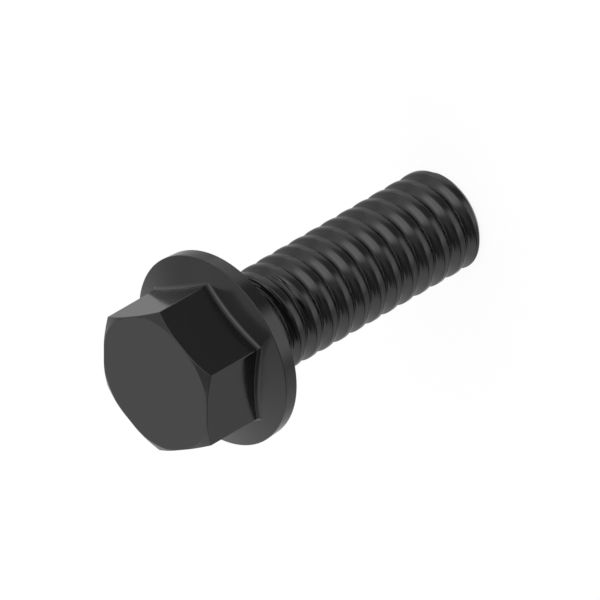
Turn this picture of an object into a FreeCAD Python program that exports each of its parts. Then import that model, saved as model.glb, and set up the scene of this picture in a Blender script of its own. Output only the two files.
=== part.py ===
# Hexagon flange bolt with a coarse right-hand thread, turned and rolled in one piece.
# Sizes are in millimetres. +Z runs up the axis to the head, and the origin is the centre
# of the flange's bearing face, so the threaded shank hangs below it.
import FreeCAD
import Part
import Sketcher
import math
import os

doc = FreeCAD.newDocument("FlangeBolt")

# Driving dimensions
SIZES = {
    "thread_diameter": 6.0,
    "thread_pitch": 1.235,
    "thread_depth": 0.368,
    "thread_angle": 90.0,
    "crest_width": 0.41,
    "shank_length": 17.05,
    "end_chamfer": 0.33,
    "cutter_lead_in": 1.206,
    "neck_diameter": 5.2,
    "neck_bevel": 0.20,
    "relief_diameter": 6.4,
    "relief_depth": 0.12,
    "across_flats": 8.0,
    "head_height": 5.335,
    "head_chamfer_circle": 8.09,
    "head_chamfer_angle": 30.0,
    "flange_diameter": 11.38,
    "bearing_diameter": 11.26,
    "rim_height": 0.89,
    "rim_bevel": 0.05,
    "flange_slope": 19.75,
    "head_fillet": 0.33,
}
sheet = doc.addObject("Spreadsheet::Sheet", "sizes")
for row, (alias, size) in enumerate(SIZES.items(), start=1):
    sheet.set(f"A{row}", alias)
    sheet.set(f"B{row}", str(size))
    sheet.setAlias(f"B{row}", alias)
doc.recompute()

# Sizes that follow from the driving ones, as expressions on the sheet
CREST_RADIUS = "sizes.thread_diameter / 2"
ROOT_RADIUS = "sizes.thread_diameter / 2 - sizes.thread_depth"
NECK_RADIUS = "sizes.neck_diameter / 2"
RELIEF_RADIUS = "sizes.relief_diameter / 2"
BEARING_RADIUS = "sizes.bearing_diameter / 2"
FLANGE_RADIUS = "sizes.flange_diameter / 2"
HEX_INSIDE = "sizes.across_flats / 2"
HEX_CORNER = "sizes.across_flats / 2 / cos(30)"
HALF_ANGLE = "sizes.thread_angle / 2"

# In a sketch that stands on the XZ plane the bolt's axis is the sketch's own Y.
# The seam of the turned faces stays clear of the hexagon's corners and the middles of its flats.
UP_THE_AXIS = FreeCAD.Vector(0, 1, 0)
SEAM_ANGLE = 15.0


def number(expression):
    """The value of an expression on the sheet, as a plain float."""
    return float(sheet.evalExpression(expression))


def new_sketch(body, name, role):
    """A sketch on the body's own origin plane with this role, such as XZ_Plane."""
    sketch = body.newObject("Sketcher::SketchObject", name)
    plane = next(p for p in body.Origin.OriginFeatures if p.Role == role)
    sketch.AttachmentSupport = [(plane, "")]
    sketch.MapMode = "FlatFace"
    return sketch


def hold_corner(sketch, line, label, corner):
    """Hold the start of a line at a corner given by two expressions, one for each sketch axis."""
    for axis, kind, expression in ((-2, "DistanceX", corner[0]), (-1, "DistanceY", corner[1])):
        if expression == "0":
            sketch.addConstraint(Sketcher.Constraint("PointOnObject", line, 1, axis))
            continue
        name = f"{label}_{kind[-1].lower()}"
        held = Sketcher.Constraint(kind, -1, 1, line, 1, number(expression))
        sketch.renameConstraint(sketch.addConstraint(held), name)
        sketch.setExpression(f"Constraints.{name}", expression)


def closed_outline(sketch, corners):
    """Straight lines from corner to corner and back to the first, every corner held by the sheet."""
    points = [FreeCAD.Vector(number(across), number(up), 0) for across, up in corners.values()]
    for start, end in zip(points, points[1:] + points[:1]):
        sketch.addGeometry(Part.LineSegment(start, end), False)
    count = len(points)
    for line in range(count):
        joint = Sketcher.Constraint("Coincident", line, 2, (line + 1) % count, 1)
        sketch.addConstraint(joint)
    for line, (label, corner) in enumerate(corners.items()):
        hold_corner(sketch, line, label, corner)


def turned(body, kind, name, sketch):
    """A full turn of a sketch about the bolt's axis: a Revolution adds, a Groove takes away."""
    sketch.AttachmentOffset = FreeCAD.Placement(FreeCAD.Vector(), UP_THE_AXIS, SEAM_ANGLE)
    doc.recompute()
    feature = body.newObject(kind, name)
    feature.Profile = sketch
    feature.ReferenceAxis = (sketch, ["V_Axis"])
    feature.Angle = 360.0
    doc.recompute()
    return feature


bolt = doc.addObject("PartDesign::Body", "Bolt")
bolt.Label = "flange_bolt"

# Blank: the shank with its chamfered end, the thinner neck and the flange with its sloping top.
# The neck is one pitch long, and its lower shoulder has the slope of the thread's flanks.
# A shallow relief round the neck keeps the bearing face wider than the thread's crests, so that
# whatever passes over the thread seats flat.
NECK_END = "-sizes.thread_pitch"
SHOULDER_RISE = f"({CREST_RADIUS} - {NECK_RADIUS}) * tan({HALF_ANGLE})"
CONE_TOP = f"sizes.rim_height + ({FLANGE_RADIUS} - {HEX_INSIDE} / 2) * tan(sizes.flange_slope)"
blank_corners = {
    "end_centre": ("0", "-sizes.shank_length"),
    "end_edge": (f"{CREST_RADIUS} - sizes.end_chamfer", "-sizes.shank_length"),
    "end_shoulder": (CREST_RADIUS, "-sizes.shank_length + sizes.end_chamfer"),
    "thread_top": (CREST_RADIUS, NECK_END),
    "neck_low": (NECK_RADIUS, f"{NECK_END} + {SHOULDER_RISE}"),
    "neck_high": (NECK_RADIUS, "sizes.relief_depth - sizes.neck_bevel"),
    "relief_inner": (f"{NECK_RADIUS} + sizes.neck_bevel", "sizes.relief_depth"),
    "relief_outer": (f"{RELIEF_RADIUS} - sizes.relief_depth", "sizes.relief_depth"),
    "bearing_inner": (RELIEF_RADIUS, "0"),
    "bearing_outer": (f"{BEARING_RADIUS} - sizes.rim_bevel", "0"),
    "rim_low": (BEARING_RADIUS, "sizes.rim_bevel"),
    "rim_high": (FLANGE_RADIUS, "sizes.rim_height - sizes.rim_bevel"),
    "cone_low": (
        f"{FLANGE_RADIUS} - sizes.rim_bevel",
        "sizes.rim_height + sizes.rim_bevel * tan(sizes.flange_slope)",
    ),
    "cone_high": (f"{HEX_INSIDE} / 2", CONE_TOP),
    "cone_centre": ("0", CONE_TOP),
}
blank_sketch = new_sketch(bolt, "BlankOutline", "XZ_Plane")
closed_outline(blank_sketch, blank_corners)
blank = turned(bolt, "PartDesign::Revolution", "Blank", blank_sketch)

# Hexagon: two corners on the X axis and two flats facing Y. It starts inside the flange.
hex_corners = {
    "east": (HEX_CORNER, "0"),
    "north_east": (f"{HEX_CORNER} / 2", HEX_INSIDE),
    "north_west": (f"-{HEX_CORNER} / 2", HEX_INSIDE),
    "west": (f"-{HEX_CORNER}", "0"),
    "south_west": (f"-{HEX_CORNER} / 2", f"-{HEX_INSIDE}"),
    "south_east": (f"{HEX_CORNER} / 2", f"-{HEX_INSIDE}"),
}
hex_sketch = new_sketch(bolt, "HexOutline", "XY_Plane")
closed_outline(hex_sketch, hex_corners)
hex_sketch.setExpression(".AttachmentOffset.Base.z", "sizes.rim_height / 2")
doc.recompute()
head = bolt.newObject("PartDesign::Pad", "Head")
head.Profile = hex_sketch
head.setExpression("Length", "sizes.head_height - sizes.rim_height / 2")
doc.recompute()

# Head chamfer: a flat cone takes the six corners off, outside a circle on the top face
BEYOND_HEAD = f"{HEX_CORNER} * 1.2"
CHAMFER_DROP = f"({BEYOND_HEAD} - sizes.head_chamfer_circle / 2) * tan(sizes.head_chamfer_angle)"
chamfer_corners = {
    "circle": ("sizes.head_chamfer_circle / 2", "sizes.head_height"),
    "above": (BEYOND_HEAD, "sizes.head_height"),
    "below": (BEYOND_HEAD, f"sizes.head_height - ({CHAMFER_DROP})"),
}
chamfer_sketch = new_sketch(bolt, "HeadChamferOutline", "XZ_Plane")
closed_outline(chamfer_sketch, chamfer_corners)
chamfer = turned(bolt, "PartDesign::Groove", "HeadChamfer", chamfer_sketch)


# Fillet between the head and the flange, along the curves where the flats meet the cone
def meets_flange(edge):
    """Does the whole edge lie on the flange's cone, between the hexagon's flats and corners?"""
    near = 1e-3
    rise = math.tan(math.radians(number("sizes.flange_slope")))
    first, last = edge.FirstParameter, edge.LastParameter
    for share in (0.0, 0.5, 1.0):
        point = edge.valueAt(first + (last - first) * share)
        out = math.hypot(point.x, point.y)
        cone = number("sizes.rim_height") + (number(FLANGE_RADIUS) - out) * rise
        if not number(HEX_INSIDE) - near < out < number(HEX_CORNER) + near:
            return False
        if abs(point.z - cone) > near:
            return False
    return True


foot_edges = [
    f"Edge{place}"
    for place, edge in enumerate(chamfer.Shape.Edges, start=1)
    if meets_flange(edge)
]
head_fillet = bolt.newObject("PartDesign::Fillet", "HeadFillet")
head_fillet.Base = (chamfer, foot_edges)
head_fillet.setExpression("Radius", "sizes.head_fillet")
doc.recompute()

# Thread groove: two flanks and a flat root, carried along a right-hand helix. The cutter comes in
# from the air past the end and stops in the middle of the neck, so that it leaves no end wall.
HALF_OPENING = "(sizes.thread_pitch - sizes.crest_width) / 2"
PAST_CREST = "sizes.crest_width / 2"
START = "-sizes.shank_length - sizes.cutter_lead_in"
STOP = "-sizes.thread_pitch / 2"
OUTER_HALF = f"({HALF_OPENING} + {PAST_CREST} * tan({HALF_ANGLE}))"
ROOT_HALF = f"({HALF_OPENING} - sizes.thread_depth * tan({HALF_ANGLE}))"
groove_corners = {
    "outer_low": (f"{CREST_RADIUS} + {PAST_CREST}", f"{START} - {OUTER_HALF}"),
    "outer_high": (f"{CREST_RADIUS} + {PAST_CREST}", f"{START} + {OUTER_HALF}"),
    "root_high": (ROOT_RADIUS, f"{START} + {ROOT_HALF}"),
    "root_low": (ROOT_RADIUS, f"{START} - {ROOT_HALF}"),
}
groove_sketch = new_sketch(bolt, "ThreadGrooveOutline", "XZ_Plane")
closed_outline(groove_sketch, groove_corners)
doc.recompute()
thread = bolt.newObject("PartDesign::SubtractiveHelix", "ThreadGroove")
thread.Profile = groove_sketch
thread.ReferenceAxis = (groove_sketch, ["V_Axis"])
thread.Mode = "pitch-height-angle"
thread.LeftHanded = False
thread.setExpression("Pitch", "sizes.thread_pitch")
thread.setExpression("Height", f"{STOP} - ({START})")
doc.recompute()

# Nothing is written unless every feature worked and every cut took material away
for item in doc.Objects:
    if "Invalid" in item.State or "Error" in item.State:
        raise RuntimeError(f"{item.Label} failed: {item.State}")
for before, after in ((head, chamfer), (head_fillet, thread)):
    taken = before.Shape.Volume - after.Shape.Volume
    print(f"{after.Label} takes away {taken:.3f} mm3")
    if taken <= 0:
        raise RuntimeError(f"{after.Label} took nothing away")
shape = bolt.Shape
if shape.isNull() or not shape.isValid() or len(shape.Solids) != 1:
    raise RuntimeError("the bolt is not one valid solid")

os.makedirs("parts", exist_ok=True)
shape.exportStep(f"parts/{bolt.Label}.step")
centre = shape.Solids[0].CenterOfMass
print(f"{bolt.Label}: {shape.Volume:.2f} mm3, {len(shape.Faces)} faces, centre of mass z {centre.z:.3f}")
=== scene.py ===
# %% [markdown]
# A black flange bolt
#
# A flange bolt is made in one piece: a hexagon head and its washer-like flange are forged from
# one end of a wire, and the thread is rolled into the rest. So this scene makes one closed
# surface too, and it lies exactly where the CAD model has its solid. The CAD solid has sharp
# edges, flat bevels on its rim and sharp corners along its thread. The surface made here rounds
# them, as forging and rolling do, because those narrow rounds are what catches the light on a
# black part.

# %% Load the measured frame
import math

import bmesh
import bpy
import numpy as np
from mathutils import Matrix, Vector


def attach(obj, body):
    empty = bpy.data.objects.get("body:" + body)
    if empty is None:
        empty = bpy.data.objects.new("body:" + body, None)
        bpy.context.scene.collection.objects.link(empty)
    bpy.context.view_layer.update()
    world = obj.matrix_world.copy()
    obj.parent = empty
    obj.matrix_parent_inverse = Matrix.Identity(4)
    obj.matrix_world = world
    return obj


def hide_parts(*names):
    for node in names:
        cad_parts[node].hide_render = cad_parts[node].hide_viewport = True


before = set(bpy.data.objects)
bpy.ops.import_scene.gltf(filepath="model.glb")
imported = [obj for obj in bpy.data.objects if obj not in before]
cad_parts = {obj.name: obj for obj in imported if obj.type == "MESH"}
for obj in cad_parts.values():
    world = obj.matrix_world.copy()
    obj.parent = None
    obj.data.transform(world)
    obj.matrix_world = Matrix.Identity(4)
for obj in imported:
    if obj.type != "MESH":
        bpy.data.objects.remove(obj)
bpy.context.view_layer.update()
MM = 0.001  # in metres, which are Blender's unit

# %% [markdown]
# Sizes
#
# The sizes are those of the CAD model, in millimetres, with the bolt's axis on Z and the
# origin in the middle of the face under the flange. Only the small rounds in the second list
# are new, and the neck's bevel becomes a round of its own size. The groove starts below the
# bolt's end, where the cutter of the CAD model comes in.

# %% Sizes of the bolt
HEAD_TOP = 5.335
ACROSS_FLATS = 8.0
CHAMFER_CIRCLE = 8.09
CHAMFER_SLOPE = math.tan(math.radians(30.0))
FLANGE_RADIUS = 5.69
BEARING_RADIUS = 5.63
RIM_HEIGHT = 0.89
FLANGE_SLOPE = math.tan(math.radians(19.75))
RELIEF_RADIUS = 3.2
RELIEF_DEPTH = 0.12
NECK_RADIUS = 2.6
NECK_BEVEL = 0.20
HEAD_FILLET = 0.33

PITCH = 1.235
CREST_RADIUS = 3.0
THREAD_DEPTH = 0.368
CREST_WIDTH = 0.41
SHANK_END = -17.05
END_CHAMFER = 0.33
CUTTER_LEAD_IN = 1.206
GROOVE_START = SHANK_END - CUTTER_LEAD_IN
HALF_THREAD_ANGLE = math.radians(45.0)
FLANK_RUN = THREAD_DEPTH * math.tan(HALF_THREAD_ANGLE)
print("length of a flank along the axis in mm:", round(FLANK_RUN, 3))

# %% The rounds that only this surface has
EDGE_ROUND = 0.06
CHAMFER_ROUND = 0.10
RIM_ROUND = 0.05
RELIEF_ROUND = 0.08
CREST_ROUND = 0.212
ROOT_ROUND = 0.108
NECK_ROUND = 0.12
FIRST_CREST_ROUND = 0.08
END_CHAMFER_ROUND = 0.10
END_FACE_ROUND = 0.05
print("rounds of the thread's crests and roots in mm:", CREST_ROUND, ROOT_ROUND)

# %% [markdown]
# Columns round the bolt
#
# Every part of the surface is a grid: columns go round the axis and rows go along it. Even
# columns would miss the narrow rounds on the hexagon's corners, so the columns crowd together
# at each corner and spread out over the middle of each flat.

# %% Angles of the columns
COLUMNS_PER_SIDE = 26
EVEN_SHARE, CROWDED_SHARE = 0.1, 0.9


def column_angles():
    """Angles of the columns. In each sixth of a turn, w runs evenly from -1 to 1, and the angle
    from the corner is 30 degrees times (even share w + crowded share w |w|)."""
    w = np.arange(COLUMNS_PER_SIDE) / COLUMNS_PER_SIDE * 2 - 1
    in_sector = math.radians(30.0) * (EVEN_SHARE * w + CROWDED_SHARE * w * np.abs(w))
    corners = np.radians(60.0) * np.arange(6)
    return np.sort((corners[:, None] + in_sector[None, :]).ravel() % (2 * math.pi))


ANGLES = column_angles()
print("columns round the bolt:", len(ANGLES))


# %% Distance from the axis to the hexagon
def hexagon_radius(angles):
    """Radius of a hexagon with rounded corners. Near a corner it is the polar formula of a
    circle, c cos d + sqrt(r^2 - c^2 sin^2 d), where d is the angle from the corner and c the
    distance of the circle's centre. Elsewhere it is half the width over cos(angle from flat)."""
    from_corner = (angles + math.pi / 6) % (math.pi / 3) - math.pi / 6
    from_flat = math.pi / 6 - np.abs(from_corner)
    inside = ACROSS_FLATS / 2
    centre = (inside - EDGE_ROUND) / math.cos(math.pi / 6)
    limit = math.atan2(EDGE_ROUND / 2, centre + EDGE_ROUND * math.cos(math.pi / 6))
    under_root = np.maximum(EDGE_ROUND**2 - (centre * np.sin(from_corner)) ** 2, 0.0)
    arc = centre * np.cos(from_corner) + np.sqrt(under_root)
    return np.where(np.abs(from_corner) < limit, arc, inside / np.cos(from_flat))


flat = hexagon_radius(ANGLES)
print("smallest and largest radius of the hexagon:", round(flat.min(), 3), round(flat.max(), 3))

# %% [markdown]
# Rounded profiles
#
# A turned or forged outline is a chain of straight lines with a small arc at each corner. One
# helper rounds a whole set of outlines at once, one outline for each column, because on the
# hexagon every column has its own outline.

# %% Round every corner of many outlines at once
SMALLEST_TURN = 0.001
REACH_SHARE = 0.48


def rounded_outline(corners, radii, steps):
    """corners is (columns, corners, 2), as radius and height. Each inner corner P, with the unit
    directions a in and b out, becomes an arc of radius r about P + (b - a) r / sin(turn). Its
    points swing from the first spoke to the last one by the sine formula
    (sin((1 - s) turn) first + sin(s turn) last) / sin(turn), for s from 0 to 1. A corner that is
    almost straight keeps a small turn, so that nothing is divided by zero, and a round takes
    less than half of the shorter side beside it, so that two rounds never meet."""
    corners = np.asarray(corners, float)
    rows = [corners[:, 0]]
    for i in range(1, corners.shape[1] - 1):
        here = corners[:, i]
        into = here - corners[:, i - 1]
        out = corners[:, i + 1] - here
        length_in = np.linalg.norm(into, axis=1)
        length_out = np.linalg.norm(out, axis=1)
        into = into / length_in[:, None]
        out = out / length_out[:, None]
        turn = np.maximum(np.arccos(np.clip((into * out).sum(1), -1.0, 1.0)), SMALLEST_TURN)
        half = np.tan(turn / 2)
        reach = np.minimum(radii[i] * half, REACH_SHARE * np.minimum(length_in, length_out))
        radius = reach / half
        start = here - into * reach[:, None]
        end = here + out * reach[:, None]
        centre = here + (out - into) * (radius / np.sin(turn))[:, None]
        for s in np.linspace(0.0, 1.0, steps[i] + 1):
            first = np.sin((1 - s) * turn) / np.sin(turn)
            second = np.sin(s * turn) / np.sin(turn)
            arc = (start - centre) * first[:, None] + (end - centre) * second[:, None]
            rows.append(centre + arc)
    rows.append(corners[:, -1])
    return np.stack(rows, axis=1)


# %% [markdown]
# Head, flange and neck
#
# From the middle of the head's top, the outline runs out to the chamfer circle, down the
# chamfer and the flat, round the fillet, down the flange's cone and rim, in along the bearing
# face, up into the relief and down the neck. On the middle of a flat the chamfer has no height,
# so the kink at its circle slides in a little there, which keeps room for the edge's round.

# %% Radii and heights that the outline needs
KINK_SETBACK = 0.14
NECK_RING_GAP = 0.10

kink = np.minimum(CHAMFER_CIRCLE / 2, flat - KINK_SETBACK)
edge_height = HEAD_TOP - np.maximum(flat - CHAMFER_CIRCLE / 2, 0.0) * CHAMFER_SLOPE
foot_height = RIM_HEIGHT + (FLANGE_RADIUS - flat) * FLANGE_SLOPE
NECK_LOW = -PITCH + (CREST_RADIUS - NECK_RADIUS) * math.tan(HALF_THREAD_ANGLE)
NECK_RING = NECK_LOW + NECK_RING_GAP
print("lowest corner of the head's chamfer in mm:", round(edge_height.min(), 3))

# %% Outline of the head in every column
same = np.ones_like(ANGLES)
head_corners = [
    # radius, height, round, steps in the round
    (0 * same, HEAD_TOP * same, 0.0, 0),
    (kink, HEAD_TOP * same, CHAMFER_ROUND, 3),
    (flat, edge_height, EDGE_ROUND, 5),
    (flat, foot_height, HEAD_FILLET, 7),
    (FLANGE_RADIUS * same, RIM_HEIGHT * same, RIM_ROUND, 5),
    (BEARING_RADIUS * same, 0 * same, RIM_ROUND, 4),
    (RELIEF_RADIUS * same, 0 * same, RIM_ROUND, 2),
    ((RELIEF_RADIUS - RELIEF_DEPTH) * same, RELIEF_DEPTH * same, RELIEF_ROUND, 3),
    (NECK_RADIUS * same, RELIEF_DEPTH * same, NECK_BEVEL, 5),
    (NECK_RADIUS * same, NECK_RING * same, 0.0, 0),
]
head_rows = rounded_outline(
    np.stack([np.stack([r, z], axis=1) for r, z, _, _ in head_corners], axis=1),
    [radius for _, _, radius, _ in head_corners],
    [steps for _, _, _, steps in head_corners],
)
print("rows of the head, flange and neck:", head_rows.shape[1])

# %% [markdown]
# The thread
#
# The thread is one profile, a wide crest, two flanks with 90 degrees between them and a small
# round root, carried along a helix. If the grid's rows went straight round, they would cut
# slantwise over every crest. So the rows climb with the helix instead: at the end of a turn, a
# row meets the row that lies one whole pitch above it. Rows that would run past the thread's
# ends are gathered on a flat ring there, where the grid of the neck or of the bolt's end takes
# over.

# %% One pitch of the thread
half_crest = CREST_WIDTH / 2
profile = rounded_outline(
    [[
        (CREST_RADIUS, 0.0),
        (CREST_RADIUS, half_crest),
        (CREST_RADIUS - THREAD_DEPTH, half_crest + FLANK_RUN),
        (CREST_RADIUS - THREAD_DEPTH, PITCH - half_crest - FLANK_RUN),
        (CREST_RADIUS, PITCH - half_crest),
        (CREST_RADIUS, PITCH),
    ]],
    [0.0, CREST_ROUND, ROOT_ROUND, ROOT_ROUND, CREST_ROUND, 0.0],
    [0, 6, 5, 5, 6, 0],  # steps in each round
)[0]
ROWS_PER_PITCH = len(profile) - 1
FIRST_CREST = GROOVE_START + PITCH / 2
print("rows in one pitch:", ROWS_PER_PITCH)


def thread_radius(height, angle):
    """Radius of the thread: the profile read at the distance above the last crest, where the
    crest's own height grows by one pitch a turn: height - (first crest + pitch angle / 2 pi)."""
    above = (height - FIRST_CREST - PITCH * angle / (2 * math.pi)) % PITCH
    return np.interp(above, profile[:, 1], profile[:, 0])


# %% The plain shank that the thread is rolled into
shank = rounded_outline(
    [[
        (NECK_RADIUS, NECK_RING),
        (NECK_RADIUS, NECK_LOW),
        (CREST_RADIUS, -PITCH),
        (CREST_RADIUS, SHANK_END + END_CHAMFER),
        (CREST_RADIUS - END_CHAMFER, SHANK_END),
        (0.0, SHANK_END),
    ]],
    [0.0, NECK_ROUND, FIRST_CREST_ROUND, END_CHAMFER_ROUND, END_FACE_ROUND, 0.0],
    [0, 4, 4, 4, 4, 0],  # steps in each round
)[0]
print("points of the plain shank's outline:", len(shank))


def shank_radius(height, angle):
    """Radius of the shank: the smaller of the plain shank's outline and the thread."""
    plain = np.interp(height, shank[-2::-1, 1], shank[-2::-1, 0])
    return np.minimum(plain, thread_radius(height, angle))


# %% Grids that follow the helix, and flat rows at both ends of it
ROOM_UNDER_NECK, ROOM_OVER_CHAMFER = 0.075, 0.07
HELIX_TOP = -PITCH - ROOM_UNDER_NECK
HELIX_LOW = SHANK_END + END_CHAMFER + ROOM_OVER_CHAMFER
NECK_ROWS, TIP_ROWS = 31, 20
END_RING = 0.6


def flat_rows(heights):
    """Rows round the shank at fixed heights, as radius and height in every column."""
    height = np.repeat(np.asarray(heights)[None, :], len(ANGLES), axis=0)
    return np.stack([shank_radius(height, ANGLES[:, None]), height], axis=2)


first_turn = math.floor((HELIX_LOW - FIRST_CREST) / PITCH) - 1
last_turn = math.ceil((HELIX_TOP - FIRST_CREST) / PITCH) + 1
turns = np.arange(first_turn, last_turn)
climb = (FIRST_CREST + turns[:, None] * PITCH + profile[None, :-1, 1]).ravel()
helix_height = climb[None, :] + PITCH * ANGLES[:, None] / (2 * math.pi)
helix_height = np.clip(helix_height, HELIX_LOW, HELIX_TOP)
helix_rows = np.stack([shank_radius(helix_height, ANGLES[:, None]), helix_height], axis=2)
neck_rows = flat_rows(np.linspace(NECK_RING, HELIX_TOP, NECK_ROWS))
tip_rows = flat_rows(np.linspace(HELIX_LOW, SHANK_END, TIP_ROWS))
end_face = tip_rows[:, -1:] * np.array([[END_RING, 1.0], [0.0, 1.0]])
print("rows along the helix:", helix_rows.shape[1])


# %% [markdown]
# Sewing the grids together
#
# Each grid becomes points by turning its outline to its column's angle. The grids meet in the
# same points, so merging doubles closes the surface and removes the rows that were gathered.

# %% Points and faces of a grid
def grid_points(rows):
    """x = r cos a, y = r sin a and z = height, in metres, for every row of every column."""
    r, z = rows[..., 0], rows[..., 1]
    cos, sin = np.cos(ANGLES)[:, None], np.sin(ANGLES)[:, None]
    return np.stack([r * cos, r * sin, z], axis=2).reshape(-1, 3) * MM


def grid_faces(columns, rows, start, climbing=0):
    """Four-sided faces between neighbouring rows and columns, facing out. In a grid that climbs,
    the last column's row k meets the first column's row k + climbing, and the order turns round
    because its rows run upwards."""
    column, row = np.meshgrid(np.arange(columns), np.arange(rows - 1), indexing="ij")
    beyond = np.where(column == columns - 1, climbing, 0)
    inside = (row + 1 + beyond) < rows
    here = start + column * rows + row
    next_one = start + (column + 1) % columns * rows + row + beyond
    order = (here, here + 1, next_one + 1, next_one)
    if climbing:
        order = (here, next_one, next_one + 1, here + 1)
    return np.stack(order, axis=2)[inside]


# %% Put the grids into one mesh
points, faces, count = [], [], 0
for rows, climbing in (
    (head_rows, 0),
    (neck_rows, 0),
    (helix_rows, ROWS_PER_PITCH),
    (np.concatenate([tip_rows, end_face], axis=1), 0),
):
    points.append(grid_points(rows))
    faces.append(grid_faces(rows.shape[0], rows.shape[1], count, climbing))
    count += len(points[-1])
mesh = bpy.data.meshes.new("flange_bolt_surface")
mesh.from_pydata(np.concatenate(points), [], np.concatenate(faces).tolist())
print("points before sewing:", len(mesh.vertices))

# %% Sew them into one closed surface
SAME_POINT = 2e-7  # in metres, as the mesh is

sewing = bmesh.new()
sewing.from_mesh(mesh)
bmesh.ops.remove_doubles(sewing, verts=sewing.verts, dist=SAME_POINT)
print("closed volume in mm3:", round(sewing.calc_volume(signed=True) / MM**3, 2))
print("open edges:", sum(not edge.is_manifold for edge in sewing.edges))
sewing.to_mesh(mesh)
sewing.free()

# %% The object that carries the surface
bolt = bpy.data.objects.new("bolt_surface", mesh)
bpy.context.scene.collection.objects.link(bolt)
mesh.calc_loop_triangles()
print("triangles:", len(mesh.loop_triangles))


# %% [markdown]
# Smooth shading that keeps the flats flat
#
# Smooth shading averages the normals of the faces round a point, so a tiny edge round would bend
# the shading of the big flat beside it. Weighting each face by its area cures that: the flat
# wins at its own border, and the round bends only between its two borders.

# %% Normals weighted by face area
def area_weighted_normals(mesh):
    """Normal of a point = the sum of face normal times face area over its faces, made unit."""
    count = len(mesh.polygons)
    normals, areas = np.empty(count * 3, np.float32), np.empty(count, np.float32)
    sides, corner_points = np.empty(count, np.int32), np.empty(len(mesh.loops), np.int32)
    mesh.polygons.foreach_get("normal", normals)
    mesh.polygons.foreach_get("area", areas)
    mesh.polygons.foreach_get("loop_total", sides)
    mesh.loops.foreach_get("vertex_index", corner_points)
    weighted = np.repeat(normals.reshape(-1, 3) * areas[:, None], sides, axis=0)
    sums = [np.bincount(corner_points, weighted[:, i], len(mesh.vertices)) for i in range(3)]
    total = np.stack(sums, axis=1)
    return total / np.linalg.norm(total, axis=1)[:, None]


mesh.polygons.foreach_set("use_smooth", np.ones(len(mesh.polygons), bool))
mesh.normals_split_custom_set_from_vertices(area_weighted_normals(mesh).tolist())
print("points with a normal of their own:", len(mesh.vertices))

# %% [markdown]
# Camera
#
# The picture is an isometric view without perspective: the bolt's axis runs at 30 degrees
# across it, the X, Y and Z axes are equally foreshortened, and a millimetre square on to the
# view is 18.317 of the picture's 600 pixels.

# %% Camera
PICTURE_PIXELS = 600
PIXELS_PER_MM = 18.317
AIM_HEIGHT = -5.855
CAMERA_DISTANCE = 0.3  # in metres, as are the nearest and farthest things it sees
NEAREST, FARTHEST = 0.01, 5.0

right = Vector((0, -1, -1)).normalized()
up = Vector((2, 1, -1)).normalized()
back = Vector((1, -1, 1)).normalized()
camera_data = bpy.data.cameras.new("isometric_view")
camera_data.type = "ORTHO"
camera_data.ortho_scale = PICTURE_PIXELS / PIXELS_PER_MM * MM
camera_data.clip_start, camera_data.clip_end = NEAREST, FARTHEST
camera = bpy.data.objects.new("isometric_view", camera_data)
aim = Vector((0, 0, AIM_HEIGHT * MM))
turned = Matrix((right, up, back)).transposed().to_4x4()
camera.matrix_world = Matrix.Translation(aim + back * CAMERA_DISTANCE) @ turned
bpy.context.scene.collection.objects.link(camera)
bpy.context.scene.camera = camera
print("the picture is this many mm wide:", round(camera_data.ortho_scale / MM, 2))

# %% [markdown]
# The black finish
#
# The bolt is forged and rolled cold, and then blackened. The finish is thin, dark and glossy,
# so almost all that is seen of it is what it mirrors. The shader is therefore a nearly black
# non-metal with a low roughness, and three small effects keep it from looking like glass. A
# mottle a millimetre or two wide changes its colour and gloss a little, a fine grain breaks
# the mirror image up close, and the dies that rolled the thread have burnished it and left
# faint lines along it. The dies touch the thread alone, so a mask on the height fades out their
# marks at the neck and over the chamfer of the end.

# %% A helper that adds a node
def add_node(tree, kind, inputs=None, **settings):
    """Add a node with its settings. An input goes by its name or its place in the node, and is
    linked if it is given a socket, or else set."""
    node = tree.nodes.new("ShaderNode" + kind)
    for name, value in settings.items():
        setattr(node, name, value)
    for name, value in (inputs or {}).items():
        if isinstance(value, bpy.types.NodeSocket):
            tree.links.new(value, node.inputs[name])
        else:
            node.inputs[name].default_value = value
    return node


def math_node(tree, operation, *values):
    """Add a Math node and return its result."""
    return add_node(tree, "Math", dict(enumerate(values)), operation=operation).outputs[0]


# %% The material and its coordinates in millimetres
REFRACTIVE_INDEX = 1.5

black = bpy.data.materials.new("black_finish")
black.use_nodes = True
tree = black.node_tree
shader = tree.nodes["Principled BSDF"]
shader.inputs["IOR"].default_value = REFRACTIVE_INDEX
coordinates = add_node(tree, "TexCoord").outputs["Object"]
in_mm = add_node(tree, "Mapping", {"Vector": coordinates, "Scale": (1 / MM,) * 3}).outputs[0]
x, y, z = add_node(tree, "SeparateXYZ", {0: in_mm}).outputs

# %% Mask of the rolled thread
# Map Range takes a value, the two ends that it comes from and the two ends that it goes to.
# Mix takes its share as input 0, two numbers as inputs 2 and 3 or two colours as 6 and 7.
below_neck = add_node(tree, "MapRange", {0: z, 1: NECK_LOW, 2: -PITCH, 3: 0.0, 4: 1.0}).outputs[0]
above_end = add_node(tree, "MapRange", {
    0: z, 1: SHANK_END, 2: SHANK_END + END_CHAMFER, 3: 0.0, 4: 1.0,
}).outputs[0]
on_thread = math_node(tree, "MULTIPLY", below_neck, above_end)
print("the dies' marks run from", -PITCH, "to", round(SHANK_END + END_CHAMFER, 3), "mm")

# %% Mottle: slow changes of colour and gloss, and the thread glossier than the head
MOTTLES_PER_MM = 0.7
DARKEST, PALEST = (0.004,) * 3 + (1,), (0.008,) * 3 + (1,)
GLOSSIEST, DULLEST = 0.10, 0.16
MOTTLE_LOW, MOTTLE_HIGH = 0.3, 0.7
BURNISH = 0.5

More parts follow.
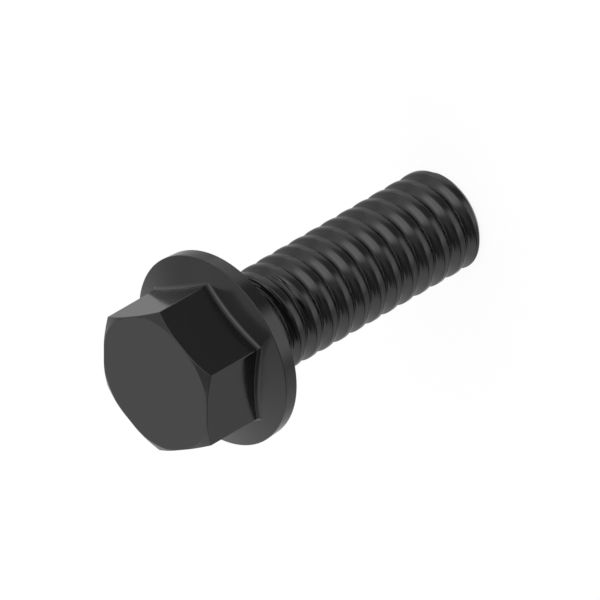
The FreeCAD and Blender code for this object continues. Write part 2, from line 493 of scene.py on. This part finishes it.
mottle = add_node(
    tree, "TexNoise", {"Vector": in_mm, "Scale": MOTTLES_PER_MM, "Detail": 4.0, "Roughness": 0.6}
).outputs[0]
colour = add_node(tree, "Mix", {0: mottle, 6: DARKEST, 7: PALEST}, data_type="RGBA")
tree.links.new(colour.outputs[2], shader.inputs["Base Color"])
gloss_range = {0: mottle, 1: MOTTLE_LOW, 2: MOTTLE_HIGH, 3: GLOSSIEST, 4: DULLEST}
gloss = add_node(tree, "MapRange", gloss_range, interpolation_type="SMOOTHSTEP").outputs[0]
burnish = add_node(tree, "MapRange", {0: on_thread, 3: 1.0, 4: BURNISH}).outputs[0]
tree.links.new(math_node(tree, "MULTIPLY", gloss, burnish), shader.inputs["Roughness"])
print("roughness of the head:", GLOSSIEST, "to", DULLEST, "and the thread's share of it:", BURNISH)

# %% [markdown]
# The rolling lines follow the helix, so they need a coordinate that stays the same along it:
# the phase, 2 pi height / pitch - angle. It jumps by a whole turn where the angle does, so the
# noise reads its cosine and sine, which don't. The size of that circle sets how fine the lines
# are. The noise's other two dimensions take a share of x and y, so that the lines change slowly
# round the bolt and come back the same on every turn, as the marks of one pair of dies do.

# %% Lines along the helix
LINES_PER_MM = 14.0
LINE_DRIFT = 0.8
LINE_DEPTH = 0.024 * MM

climbed = math_node(tree, "MULTIPLY", z, 2 * math.pi / PITCH)
phase = math_node(tree, "SUBTRACT", climbed, math_node(tree, "ARCTAN2", y, x))
circle = LINES_PER_MM * PITCH / (2 * math.pi)
on_circle = add_node(tree, "CombineXYZ", {
    0: math_node(tree, "MULTIPLY", math_node(tree, "COSINE", phase), circle),
    1: math_node(tree, "MULTIPLY", math_node(tree, "SINE", phase), circle),
    2: math_node(tree, "MULTIPLY", x, LINE_DRIFT),
}).outputs[0]
drift = math_node(tree, "MULTIPLY", y, LINE_DRIFT)
line_noise = {"Vector": on_circle, "W": drift, "Scale": 1.0, "Detail": 0.0}
lines = add_node(tree, "TexNoise", line_noise, noise_dimensions="4D").outputs[0]
line_height = math_node(tree, "MULTIPLY", lines, on_thread)
print("lines in one pitch, about:", round(LINES_PER_MM * PITCH))

# %% Grain, and both reliefs joined in the normal
GRAINS_PER_MM = 9.0
GRAIN_DEPTH = 0.00015 * MM

grain = add_node(tree, "TexNoise", {"Vector": in_mm, "Scale": GRAINS_PER_MM, "Detail": 3.0}).outputs[0]
grained = add_node(tree, "Bump", {"Strength": 1.0, "Distance": GRAIN_DEPTH, "Height": grain}).outputs[0]
lined = add_node(
    tree, "Bump", {"Strength": 1.0, "Distance": LINE_DEPTH, "Height": line_height, "Normal": grained}
).outputs[0]
tree.links.new(lined, shader.inputs["Normal"])

mesh.materials.append(black)
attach(bolt, "root")
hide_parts("flange_bolt")
print("nodes in the black finish:", len(tree.nodes))

# %% [markdown]
# The studio
#
# A black glossy bolt shows little but the mirror image of the studio, so the studio is what
# gives each face its grey. It is built the way a photographer lights a bottle: grey
# surroundings over a darker ground, and in them a few large soft lights, white cards and black
# cards. Here they are soft-edged panels in the world's shader, each a patch of directions round
# the bolt. A panel's mask falls smoothly from 1 to 0 at its edges, and mixes the light behind
# the panel with the panel's own. The camera itself sees plain white. The rays that the bolt
# mirrors don't, because a black bolt in an even white would be one even grey.

# %% One studio panel as a node group
def make_panel_group():
    """Light out = light behind + mask (panel's light - light behind). The mask is the product of
    two smooth steps, over the distance from the panel's centre in azimuth, the short way
    round, and in elevation. Each step goes from 1 at its inner edge to 0 at its outer edge."""
    group = bpy.data.node_groups.new("studio_panel", "ShaderNodeTree")
    sockets = ("Azimuth", "Elevation", "Light behind", "Centre azimuth", "Centre elevation",
               "Inner side", "Outer side", "Inner top", "Outer top", "Light")
    for name in sockets:
        group.interface.new_socket(name, in_out="INPUT", socket_type="NodeSocketFloat")
    group.interface.new_socket("Light", in_out="OUTPUT", socket_type="NodeSocketFloat")
    given = group.nodes.new("NodeGroupInput").outputs
    aside = math_node(group, "SUBTRACT", given["Azimuth"], given["Centre azimuth"])
    aside = math_node(group, "ABSOLUTE", math_node(group, "WRAP", aside, math.pi, -math.pi))
    above = math_node(group, "SUBTRACT", given["Elevation"], given["Centre elevation"])
    above = math_node(group, "ABSOLUTE", above)
    steps = []
    for distance, side in ((aside, "side"), (above, "top")):
        edges = {0: distance, 1: given["Outer " + side], 2: given["Inner " + side], 3: 0.0, 4: 1.0}
        steps.append(add_node(group, "MapRange", edges, interpolation_type="SMOOTHSTEP").outputs[0])
    mask = math_node(group, "MULTIPLY", *steps)
    blend = add_node(group, "Mix", {0: mask, 2: given["Light behind"], 3: given["Light"]})
    group.links.new(blend.outputs[0], group.nodes.new("NodeGroupOutput").inputs[0])
    return group


# %% [markdown]
# A card has to stand where the bolt mirrors it. So each panel is placed by the spot of the bolt
# that it is for: the lean of the surface there, from the bolt's axis, and the azimuth that it
# faces. The top face leans 0 degrees, a flat of the hexagon and the thread's crests lean 90, and
# the flank of the thread that faces the head leans 45.

# %% The direction that a spot mirrors
def mirrored(lean, facing):
    """Azimuth and elevation of r = 2 (n . v) n - v, where n is the surface's normal and v points
    to the camera."""
    lean, facing = math.radians(lean), math.radians(facing)
    outwards = math.sin(lean)
    normal = Vector((outwards * math.cos(facing), outwards * math.sin(facing), math.cos(lean)))
    ray = 2 * normal.dot(back) * normal - back
    return math.atan2(ray.y, ray.x), math.asin(ray.z)


print("the top face mirrors", [round(math.degrees(angle)) for angle in mirrored(0, 0)])

# %% The studio's panels
SURROUNDINGS, GROUND = 0.60, 0.30
GROUND_BELOW, WALLS_ABOVE = -60, -40
PANELS = (
    # what it is, lean and facing of its spot, half width, half height, soft sides, soft top, light
    ("grey wall behind, for the top face", 0, 0, 80, 45, 20, 30, 0.90),
    ("grey card, for the flange's upper part", 20, 45, 15, 20, 20, 20, 0.70),
    ("tall soft light, for the flanks", 45, -25, 50, 40, 30, 30, 1.20),
    ("bright strip in it", 45, -30, 30, 10, 30, 25, 2.70),
    ("white wall, for the last flanks at the left", 35, -110, 35, 30, 30, 30, 1.15),
    ("black card, for the flanks at the left", 60, -75, 30, 35, 20, 20, 0.20),
    ("white card, low, for the crests", 90, -55, 30, 20, 30, 20, 1.45),
    ("black card, for the dark flat", 90, -30, 20, 20, 20, 15, 0.25),
    ("pale card, for the crests at the right", 90, -5, 25, 20, 20, 20, 1.00),
    ("pale card, for the lower flat", 90, -90, 20, 20, 20, 20, 0.70),
)
print("studio panels:", len(PANELS))

# %% The world, and the direction in which each ray leaves
world = bpy.data.worlds.new("studio")
bpy.context.scene.world = world
world.use_nodes = True
studio = world.node_tree
direction = add_node(studio, "SeparateXYZ", {0: add_node(studio, "TexCoord").outputs["Generated"]})
azimuth = math_node(studio, "ARCTAN2", direction.outputs["Y"], direction.outputs["X"])
elevation = math_node(studio, "ARCSINE", direction.outputs["Z"])
print("nodes for the direction:", len(studio.nodes))

# %% The ground and the surroundings, with the panels over them
panel_group = make_panel_group()
light = add_node(studio, "MapRange", {
    0: elevation, 1: math.radians(GROUND_BELOW), 2: math.radians(WALLS_ABOVE),
    3: GROUND, 4: SURROUNDINGS,
}).outputs[0]
for name, lean, facing, *angles, level in PANELS:
    centre_azimuth, centre_elevation = mirrored(lean, facing)
    half_width, half_height, side, top = (math.radians(angle) for angle in angles)
    light = add_node(studio, "Group", {
        "Azimuth": azimuth, "Elevation": elevation, "Light behind": light,
        "Centre azimuth": centre_azimuth, "Centre elevation": centre_elevation,
        "Inner side": half_width - side / 2, "Outer side": half_width + side / 2,
        "Inner top": half_height - top / 2, "Outer top": half_height + top / 2,
        "Light": level,
    }, node_tree=panel_group, label=name).outputs[0]
print("panels placed, the last one at", [round(math.degrees(angle)) for angle in mirrored(lean, facing)])

# %% White for the camera
BACKGROUND_WHITE = 1.0

seen_by_camera = add_node(studio, "LightPath").outputs["Is Camera Ray"]
strength = add_node(studio, "Mix", {0: seen_by_camera, 2: light, 3: BACKGROUND_WHITE}).outputs[0]
studio.links.new(strength, studio.nodes["Background"].inputs["Strength"])
studio.nodes["Background"].inputs["Color"].default_value = (1, 1, 1, 1)
print("nodes in the studio:", len(studio.nodes))

# %% [markdown]
# The floor
#
# The bolt stands on its flat end, with a hair's gap so that the two flat faces don't flicker
# through each other. The floor's material shows the camera a white that keeps a faint share of
# the bolt's shadow. That share is a little darker than white even in the open, so the white is
# set a little over 1. Rays that the bolt mirrors pass through the floor to the studio below it,
# so the bolt's underside mirrors the studio too and not one flat plane.

# %% Floor
FLOOR_HALF = 1.0  # half its width, in metres
FLOOR_GAP = 0.005  # in millimetres

floor_z = (SHANK_END - FLOOR_GAP) * MM
corner_signs = ((-1, -1), (1, -1), (1, 1), (-1, 1))
floor_corners = [(i * FLOOR_HALF, j * FLOOR_HALF, floor_z) for i, j in corner_signs]
floor_mesh = bpy.data.meshes.new("studio_floor")
floor_mesh.from_pydata(floor_corners, [], [(0, 1, 2, 3)])
floor = bpy.data.objects.new("studio_floor", floor_mesh)
bpy.context.scene.collection.objects.link(floor)
print("height of the floor in mm:", round(floor_z / MM, 3))

# %% The floor's material
FLOOR_GREY = 0.95
SHADOW_SHARE = 0.10
CAMERA_WHITE = 1.02

pale = bpy.data.materials.new("pale_floor")
pale.use_nodes = True
tree = pale.node_tree
matt = tree.nodes["Principled BSDF"]
matt.inputs["Base Color"].default_value = (FLOOR_GREY, FLOOR_GREY, FLOOR_GREY, 1)
matt.inputs["Roughness"].default_value = 1.0
matt.inputs["Specular IOR Level"].default_value = 0.0
rays = add_node(tree, "LightPath").outputs
white = add_node(tree, "Emission", {"Strength": CAMERA_WHITE}).outputs[0]
clear = add_node(tree, "BsdfTransparent").outputs[0]
share = math_node(tree, "MULTIPLY", rays["Is Camera Ray"], 1 - SHADOW_SHARE)
to_camera = add_node(tree, "MixShader", {0: share, 1: matt.outputs[0], 2: white}).outputs[0]
passing = math_node(tree, "MAXIMUM", rays["Is Glossy Ray"], rays["Is Transmission Ray"])
all_rays = add_node(tree, "MixShader", {0: passing, 1: to_camera, 2: clear}).outputs[0]
tree.links.new(all_rays, tree.nodes["Material Output"].inputs["Surface"])
floor_mesh.materials.append(pale)
print("nodes in the floor's material:", len(tree.nodes))

# %% [markdown]
# Finish
#
# The view transform stays Standard, so that a grey comes out as it is lit.

# %% Finish
bpy.context.scene.view_settings.view_transform = "Standard"
